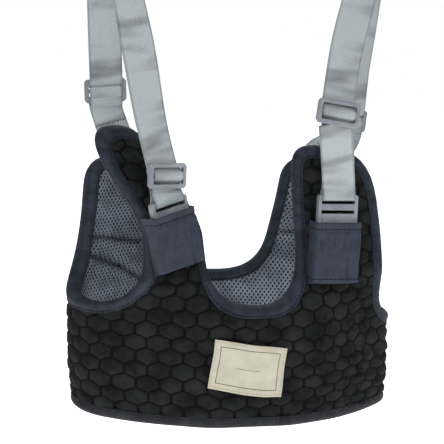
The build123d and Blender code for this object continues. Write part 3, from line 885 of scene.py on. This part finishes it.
def buckle_plane(u, z):
    """Plane on a lobe; the buckle hangs below its origin."""
    low = z - SOCKET_HEIGHT
    up = unit(place(u, z) - place(u, low))
    across = place(u + 15, (z + low) / 2) - place(u - 15, (z + low) / 2)
    plane = Plane(place(u, (z + low) / 2), across, up)
    return plane.moved(plane.y * (z - low) / 2 + plane.z * STAND_OFF)


def strap_plane(here, up, across):
    """Plane of a tri-glide on the outward face of its strap."""
    plane = Plane(here, across, up)
    return plane.moved(plane.z * STRAP_GAP)


def planes(side):
    """Planes of a side's buckle, front tri-glide and rear tri-glide."""
    route = LOOPS[side]
    buckle = buckle_plane(*BUCKLES[side]).rolled(BUCKLE_ROLL[side])
    front = strap_plane(route[0], route[1] - route[0], buckle.x).rolled(TRIGLIDE_ROLL[side])
    rear = strap_plane(route[-1], route[-2] - route[-1], np.array([-1.0, 0, 0]))
    return buckle, front, rear


# --- webbing ---
DOUBLED, WOVEN = 1.1, 1.0  # thickness of webbing that is pulled tight in two layers, or through a slot
SHORT_STEP = 0.8  # spacing of the rings of a short, sharply turned stretch
ANCHOR_STITCH = {"left": 26.0, "right": 9.0}  # stitches across a rear anchor, above the lobe's top


def smooth_route(points, step):
    """Evenly spaced points on a smooth line through the given ones."""
    p = np.array(points, float)
    gap = np.linalg.norm(np.diff(p, axis=0), axis=1) ** 0.5
    knots = np.concatenate([[0], np.cumsum(gap)])
    slope = np.gradient(p, knots, axis=0, edge_order=2)
    t = np.linspace(0, 1, 24, endpoint=False)[:, None]
    out = []
    for i in range(len(p) - 1):
        h = knots[i + 1] - knots[i]
        leaving = (2 * t ** 3 - 3 * t ** 2 + 1) * p[i] + (t ** 3 - 2 * t ** 2 + t) * h * slope[i]
        arriving = (3 * t ** 2 - 2 * t ** 3) * p[i + 1] + (t ** 3 - t ** 2) * h * slope[i + 1]
        out.append(leaving + arriving)
    return resample(np.concatenate(out + [p[-1:]]), step)


def web(name, route, across_start, across_end, seed, thickness=WEBBING, step=1.6, turn_over=1.0,
        cup=0.25, roll=((0, 0), (1, 0)), sewn=()):
    """Flat webbing along a route, its width turning from one direction to the other.

    turn_over is the share of the length that this takes; cup is how far the edges stand up, and roll an
    extra twist by share of the length; sewn is how far along, in mm, there are dark stitches across it.
    """
    line = smooth_route(route, step)
    count = len(line)
    run = np.arange(count) * step
    tangent = np.gradient(line, axis=0)
    tangent /= np.linalg.norm(tangent, axis=1)[:, None]
    share = smooth(np.arange(count) / (count - 1) / turn_over)[:, None]
    across = unit(across_start) * (1 - share) + unit(across_end) * share
    lift = np.cross(across, tangent)
    angle = np.interp(run / run[-1], *zip(*roll))[:, None]
    across = across * np.cos(angle) + lift * np.sin(angle)
    across -= tangent * (across * tangent).sum(1)[:, None]
    across /= np.linalg.norm(across, axis=1)[:, None]
    out = np.cross(across, tangent)
    half = WEBBING_WIDTH / 2
    face = np.linspace(-half + 0.35, half - 0.35, 15)
    upper = [(x, thickness / 2) for x in face]
    lower = [(x, -thickness / 2) for x in face[::-1]]
    section = upper + [(half, thickness * 0.22), (half, -thickness * 0.22)] + lower
    section += [(-half, -thickness * 0.22), (-half, thickness * 0.22)]
    rows, flats, marks = [], [], []
    for x, h in section:
        bow = cup * ((x / half) ** 2 - 0.4) + 0.18 * ripple(run, run * 0 + x, 16, 31 + seed)
        side = 0.22 * ripple(run, run * 0, 23, 33 + seed) * x / half
        rows.append(line + across * (x + side)[:, None] + out * (h + bow)[:, None])
        flats.append(np.stack([run, run * 0 + x, run * 0 + np.sign(h) * 40], -1))
        near = [smooth(1 - np.abs(run - s - 0.4 * math.sin(x * 2.2)) / 1.3) for s in sewn]
        marks.append(np.max(near, axis=0) if near else run * 0)
    return swept(name, rows, flats, False, marks)


LOOP_ROLL = {  # twist of the webbing about its own line, in radians, by share of its length
    "left": [(0, 0), (0.12, 0.0), (0.28, 0.10), (0.36, -0.08), (0.5, 0.0), (1, 0)],
    "right": [(0, 0), (0.2, 0.05), (0.35, -0.05), (0.5, 0.0), (0.8, 0.12), (1, 0)],
}


def hand_loop(side, buckle, rear):
    """Hand loop from the front tri-glide to the rear one, where it turns in behind the top bar."""
    route = LOOPS[side]
    low = route[0] - unit(route[1] - route[0]) * 6.5
    tuck = [rear.at(0, y, z) for y, z in ((10.5, -4.0), (7.0, -3.2), (4.6, -1.0), (3.3, 1.6))]
    piece = web(side + "_hand_loop", [low, *route[:-1], *tuck], buckle.x, -rear.x,
                seed=3.0 if side == "left" else 5.0, roll=LOOP_ROLL[side])
    dress(piece, "webbing", None, side + "_hand_strap")
    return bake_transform(piece)


def tail(side, buckle, front):
    """Doubled webbing from a front tri-glide down, round the plug's top bar and up again."""
    c = PLUG_TOP_BAR
    turn = [(c + 7, -1.5), (c + 3.4, -2.9), (c + 0.5, -3.5), (c - 1.8, -3.0), (c - 2.4, -0.8), (c - 2.4, 0.8),
            (c - 1.8, 3.0), (c + 0.5, 3.5), (c + 3.4, 2.9), (c + 7, 1.6)]
    strap_foot, above = LOOPS[side][:2]
    rise = unit(above - strap_foot)
    up_back = strap_foot + rise * 7 - front.z * 1.6
    up_front = strap_foot - rise * 7 + front.z * 0.6
    route = [up_back] + [buckle.at(0, y, z) for y, z in turn] + [up_front]
    piece = web(side + "_doubled_webbing", route, buckle.x, buckle.x, 7.0, DOUBLED, SHORT_STEP, cup=0.0)
    return dress(piece, "webbing", side + "_plug", side + "_strap_tail")


def through_slot(name, plane, path, turned, seed, body, *nodes, step=SHORT_STEP):
    """Webbing through a slot, along a path of heights and depths in a plane; turned is 1 or -1."""
    route = [plane.at(0, y, z) for y, z in path]
    piece = web(name, route, plane.x * turned, plane.x * turned, seed, WOVEN, step, cup=0.0)
    return dress(piece, "webbing", body, *nodes)


def front_window(side, front):
    """Webbing that shows in a front tri-glide's window, over its middle bar."""
    rise = ((8.2, -2.75), (5.6, -2.3), (3.6, -0.5), (2.2, 1.7))
    path = rise + ((0, 2.55),) + tuple((-y, z) for y, z in rise[::-1])
    return through_slot(side + "_front_window_webbing", front, path, 1, 9.0, side + "_front_adjuster")


def rear_window(side, rear):
    """Webbing over the rear tri-glide's middle bar, on the side that faces the wearer."""
    path = ((3.4, 0.6), (2.9, -1.3), (1.2, -2.5), (-1.5, -2.75), (-4.0, -2.5), (-6.0, -2.4))
    return through_slot(side + "_rear_window_webbing", rear, path, -1, 11.0, side + "_rear_adjuster")


def rear_anchor(side, rear):
    """Anchor webbing: from inside the back lobe up over the rear tri-glide's lower bar and back."""
    top_u, top_z, _, _ = TOPS["back_" + side]
    base = place(top_u, top_z - 8, THICKNESS / 2)
    lift = place(top_u, top_z + 1.5, THICKNESS / 2)
    c = TRIGLIDE_LOWER_BAR
    turn = [(c - 6.0, -2.1), (c - 2.6, -3.2), (c, -3.4), (c + 2.4, -2.2), (c + 2.9, 0.0), (c + 2.4, 2.2),
            (c, 3.2), (c - 2.6, 2.6), (c - 6.0, 0.4)]
    front_layer = [base - (0, 0.7, 0), lift - (0, 0.7, 0)]
    back_layer = [lift + (0, 0.9, 0), base + (0, 0.9, 0)]
    route = front_layer + [rear.at(0, y, z) for y, z in turn] + back_layer
    stitch = np.linalg.norm(lift - base) + ANCHOR_STITCH[side]
    piece = web(side + "_anchor_webbing", route, np.array([1.0, 0, 0]), -rear.x, 13.0, DOUBLED, SHORT_STEP,
                turn_over=0.4, cup=0.0, sewn=(stitch,))
    return dress(piece, "webbing", "vest", side + "_rear_anchor")


def socket_webbing(side, buckle):
    """Webbing that holds the socket, hidden under the cover."""
    path = ((-30.0, -6.1), (-27.8, -5.6), (-26.2, -3.0), (-25.6, 0.0), (-26.2, 3.0), (-27.4, 5.0),
            (-28.6, 5.3))
    return through_slot(side + "_socket_webbing", buckle, path, 1, 15.0, "vest", side + "_socket_anchor",
                        step=1.2)


# --- fabric covers and label ---
COVER_COLUMNS, COVER_ROWS = 49, 61
COVER_THICKNESS = 0.9
COVER_SEAM = 0.12  # the hem's stitching, as a share of the height from the mouth
COVER_CROWN = 6.6  # height of the cover's face above the buckle's middle plane
LABEL_COLUMNS, LABEL_ROWS = 56, 40
LABEL_HALF_THICKNESS = 0.25


def cover(side, buckle):
    """Padded sleeve over a buckle, sewn down at its sides and foot and open at its mouth."""
    top = COVER_TOP[side]
    foot = top - COVER_HEIGHT[side] - COVER_OVERLAP[side]
    gx, gy = grid(np.linspace(-1, 1, COVER_COLUMNS), np.linspace(0, 1, COVER_ROWS))
    seed = 41 if side == "left" else 47
    half = COVER_WIDTH / 2
    spread = half * np.clip(np.abs(gx) * 1.09, 0, 1) * np.sign(gx)
    wall = smooth((np.abs(gx) - 0.88) / 0.12)
    y = top + (foot - top) * gy
    settle = smooth((foot + 4.2 - y) / 4.2)
    turn = math.radians(BUCKLE_ROLL[side])
    under_u = BUCKLES[side][0] + spread * math.cos(turn) - y * math.sin(turn)
    under_z = BUCKLES[side][1] + spread * math.sin(turn) + y * math.cos(turn)
    resting = (place(under_u, under_z, -COVER_THICKNESS) - buckle.origin) @ buckle.z
    hem_seam = 1.2 * hump(gy - COVER_SEAM, 0.04) * (np.abs(gx) < 0.9)
    crown = COVER_CROWN + 0.9 * (1 - gx ** 2) - hem_seam
    crown = crown + 0.55 * ripple(spread, y, 8, seed) + 0.8 * ripple(spread * 0.3, y * 1.2, 11, seed + 1) * gy
    hem_roll = 0.5 * hump(gy - 0.015, 0.02)
    drawn_in = np.maximum(wall, settle)
    height = (crown + hem_roll) * (1 - drawn_in) + resting * drawn_in
    pull = 0.5 * ripple(y, spread * 0.2, 10, seed + 2)
    outer = buckle.at(spread + pull, y, height)
    inner = buckle.at(spread * 0.955 + pull, y, height - COVER_THICKNESS)
    flat = np.stack([spread + wall * np.sign(gx) * 10, top - y, gx * 0], -1)
    piece = shell(side + "_cover_sleeve", outer, inner, grid_quads(COVER_COLUMNS, COVER_ROWS), flat)
    fix_normals(piece)
    held = np.maximum(smooth((drawn_in - 0.2) / 0.6), hump(gy, 0.03))
    held = np.maximum(held, hump(gy - COVER_SEAM, 0.015))
    inflate(piece, held, pressure=4.0, slack=0.05, frames=16, cap=2.2)
    return dress(piece, "cover_cloth", "vest", side + "_buckle_cover")


def label():
    """Cloth label with slightly wavy edges, lying on the quilting."""
    xs = np.linspace(-0.5, 0.5, LABEL_COLUMNS) * LABEL_SIZE[0]
    ys = np.linspace(-0.5, 0.5, LABEL_ROWS) * LABEL_SIZE[1]
    x, y = grid(xs, ys)
    wave = 0.5 * ripple(x, y, 14, 51)
    px = x + 0.4 * ripple(y, x, 12, 52)
    py = y + 0.7 * ripple(x, y, 12, 53)
    u = LABEL_MIDDLE[0] + px * math.cos(LABEL_TILT) + py * math.sin(LABEL_TILT)
    z = LABEL_MIDDLE[1] - px * math.sin(LABEL_TILT) + py * math.cos(LABEL_TILT)
    edge = np.minimum(LABEL_SIZE[0] / 2 - np.abs(x), LABEL_SIZE[1] / 2 - np.abs(y))
    corner = 2.2 * hump(x - 15, 8) * hump(y + 17, 7)
    lift = PUFF + 0.8 + wave * smooth(edge / 6) + 0.35 * hump(edge - 0.6, 0.9) + corner
    outer = place(u, z, -lift - LABEL_HALF_THICKNESS)
    inner = place(u, z, -lift + LABEL_HALF_THICKNESS)
    flat = np.stack([x, y, x * 0], -1)
    piece = shell("sewn_label", outer, inner, grid_quads(LABEL_COLUMNS, LABEL_ROWS), flat)
    fix_normals(piece)
    return dress(piece, "label_cloth", "vest", "label")


def round_edges(node):
    """Soften the edges of a moulded part."""
    edge = node.modifiers.new("rounded_edges", "BEVEL")
    edge.width = 0.35 * MM
    edge.segments = 2
    edge.limit_method = "ANGLE"
    edge.angle_limit = math.radians(40)


# --- assembly ---
HEM_LEVEL, HEM_WIDTH, HEM_PROUD = 1.2, 7.0, 1.15

for panel_side in PANELS:
    face = quilting(panel_side)
    dress(face, "quilted_cloth", "vest", panel_side + "_outer_panel", panel_side + "_padding")
    inner_face = lining(panel_side)
    dress(inner_face, "air_mesh", "vest", panel_side + "_lining")

for node, halves in UPPER_TAPES.items():
    tape = tape_loop(node + "_tape", np.concatenate(halves), False, -1)
    dress(tape, "binding_tape", "vest", node)
hem_route = np.array([(-GIRTH / 2, HEM_LEVEL), (GIRTH / 2, HEM_LEVEL)])
hem = tape_loop("hem_tape", hem_route, True, 1, HEM_WIDTH, HEM_PROUD)
dress(hem, "binding_tape", "vest", "hem_binding", look="hem_tape")

patch = label()

for side_name in ("left", "right"):
    at_buckle, at_front, at_rear = planes(side_name)
    cover(side_name, at_buckle)
    hand_loop(side_name, at_buckle, at_rear)
    tail(side_name, at_buckle, at_front)
    front_window(side_name, at_front)
    rear_window(side_name, at_rear)
    rear_anchor(side_name, at_rear)
    socket_webbing(side_name, at_buckle)

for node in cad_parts.values():
    if not node.hide_render:
        node.data.materials.clear()
        node.data.materials.append(MATERIALS["moulded_plastic"])
        round_edges(node)


# --- floor, light and camera ---
FLOOR_HALF_SIZE = 3.0
FLOOR_DROP = 0.35  # the harness hangs by its loops, clear of the floor
FLOOR_GLOW = 0.9
WORLD_BELOW, WORLD_ABOVE = 0.10, 0.50
LIGHTS = (  # name, place in metres, power and width of a round soft box
    ("key", (-0.7, -1.3, 1.5), 18.0, 0.6),
    ("fill", (1.3, -1.1, 0.7), 5.0, 0.9),
    ("rim", (0.5, 1.3, 1.4), 8.0, 0.8),
)
LIGHT_TARGET = (0, 0, 0.18)
CAMERA_TARGET = (-0.0072, 0, 0.1425)
CAMERA_AZIMUTH, CAMERA_ELEVATION, CAMERA_DISTANCE = -18, 14, 1.165
LENS, SENSOR = 124.5, 36.0


def floor():
    """Pale floor that glows, so that it stays as white as the surroundings."""
    mesh = bpy.data.meshes.new("floor")
    size, level = FLOOR_HALF_SIZE, CAD_BOX[0].z - FLOOR_DROP
    corners = [(x * size, y * size, level) for x, y in ((-1, -1), (1, -1), (1, 1), (-1, 1))]
    mesh.from_pydata(corners, [], [(0, 1, 2, 3)])
    s = Shader("floor_paper", 0.9, specular=0.2)
    s.last["Emission Color"].default_value = (1, 1, 1, 1)
    s.last["Emission Strength"].default_value = FLOOR_GLOW
    colour = s.mix(s.noise(s.on_object(), 3.0), FLOOR_DARK, FLOOR_LIGHT)
    mesh.materials.append(s.finish(colour))
    add_object("floor", mesh)


def surroundings():
    """White for the camera; for the cloth, a glow that gets brighter upwards."""
    world = bpy.data.worlds.new("studio")
    bpy.context.scene.world = world
    s = Nodes(world, "Background")
    s.last["Color"].default_value = (1, 1, 1, 1)
    _, _, height = s.split(s.new("TexCoord").outputs["Generated"])
    glow = s.node("MapRange", height, -1.0, 1.0, WORLD_BELOW, WORLD_ABOVE)
    by_camera = s.new("LightPath").outputs["Is Camera Ray"]
    s.put(s.last["Strength"], s.node("Mix", by_camera, None, glow, 1.0))


def lamp(name, at, power, width):
    """A round soft box that points at the harness."""
    data = bpy.data.lights.new(name, "AREA")
    data.energy = power
    data.shape = "DISK"
    data.size = width
    holder = add_object(name, data)
    holder.location = at
    aim = Vector(LIGHT_TARGET) - Vector(at)
    holder.rotation_euler = aim.to_track_quat("-Z", "Y").to_euler()


def camera():
    """Long lens, a little above the harness and to the left of its front."""
    azimuth, elevation = math.radians(CAMERA_AZIMUTH), math.radians(CAMERA_ELEVATION)
    level = math.cos(elevation)
    away = Vector((math.sin(azimuth) * level, -math.cos(azimuth) * level, math.sin(elevation)))
    lens = bpy.data.cameras.new("camera")
    lens.lens = LENS
    lens.sensor_width = SENSOR
    holder = add_object("camera", lens)
    holder.location = Vector(CAMERA_TARGET) + away * CAMERA_DISTANCE
    holder.rotation_euler = (-away).to_track_quat("-Z", "Y").to_euler()
    bpy.context.scene.camera = holder


floor()
surroundings()
for light in LIGHTS:
    lamp(*light)
camera()
bpy.context.scene.view_settings.view_transform = "Standard"
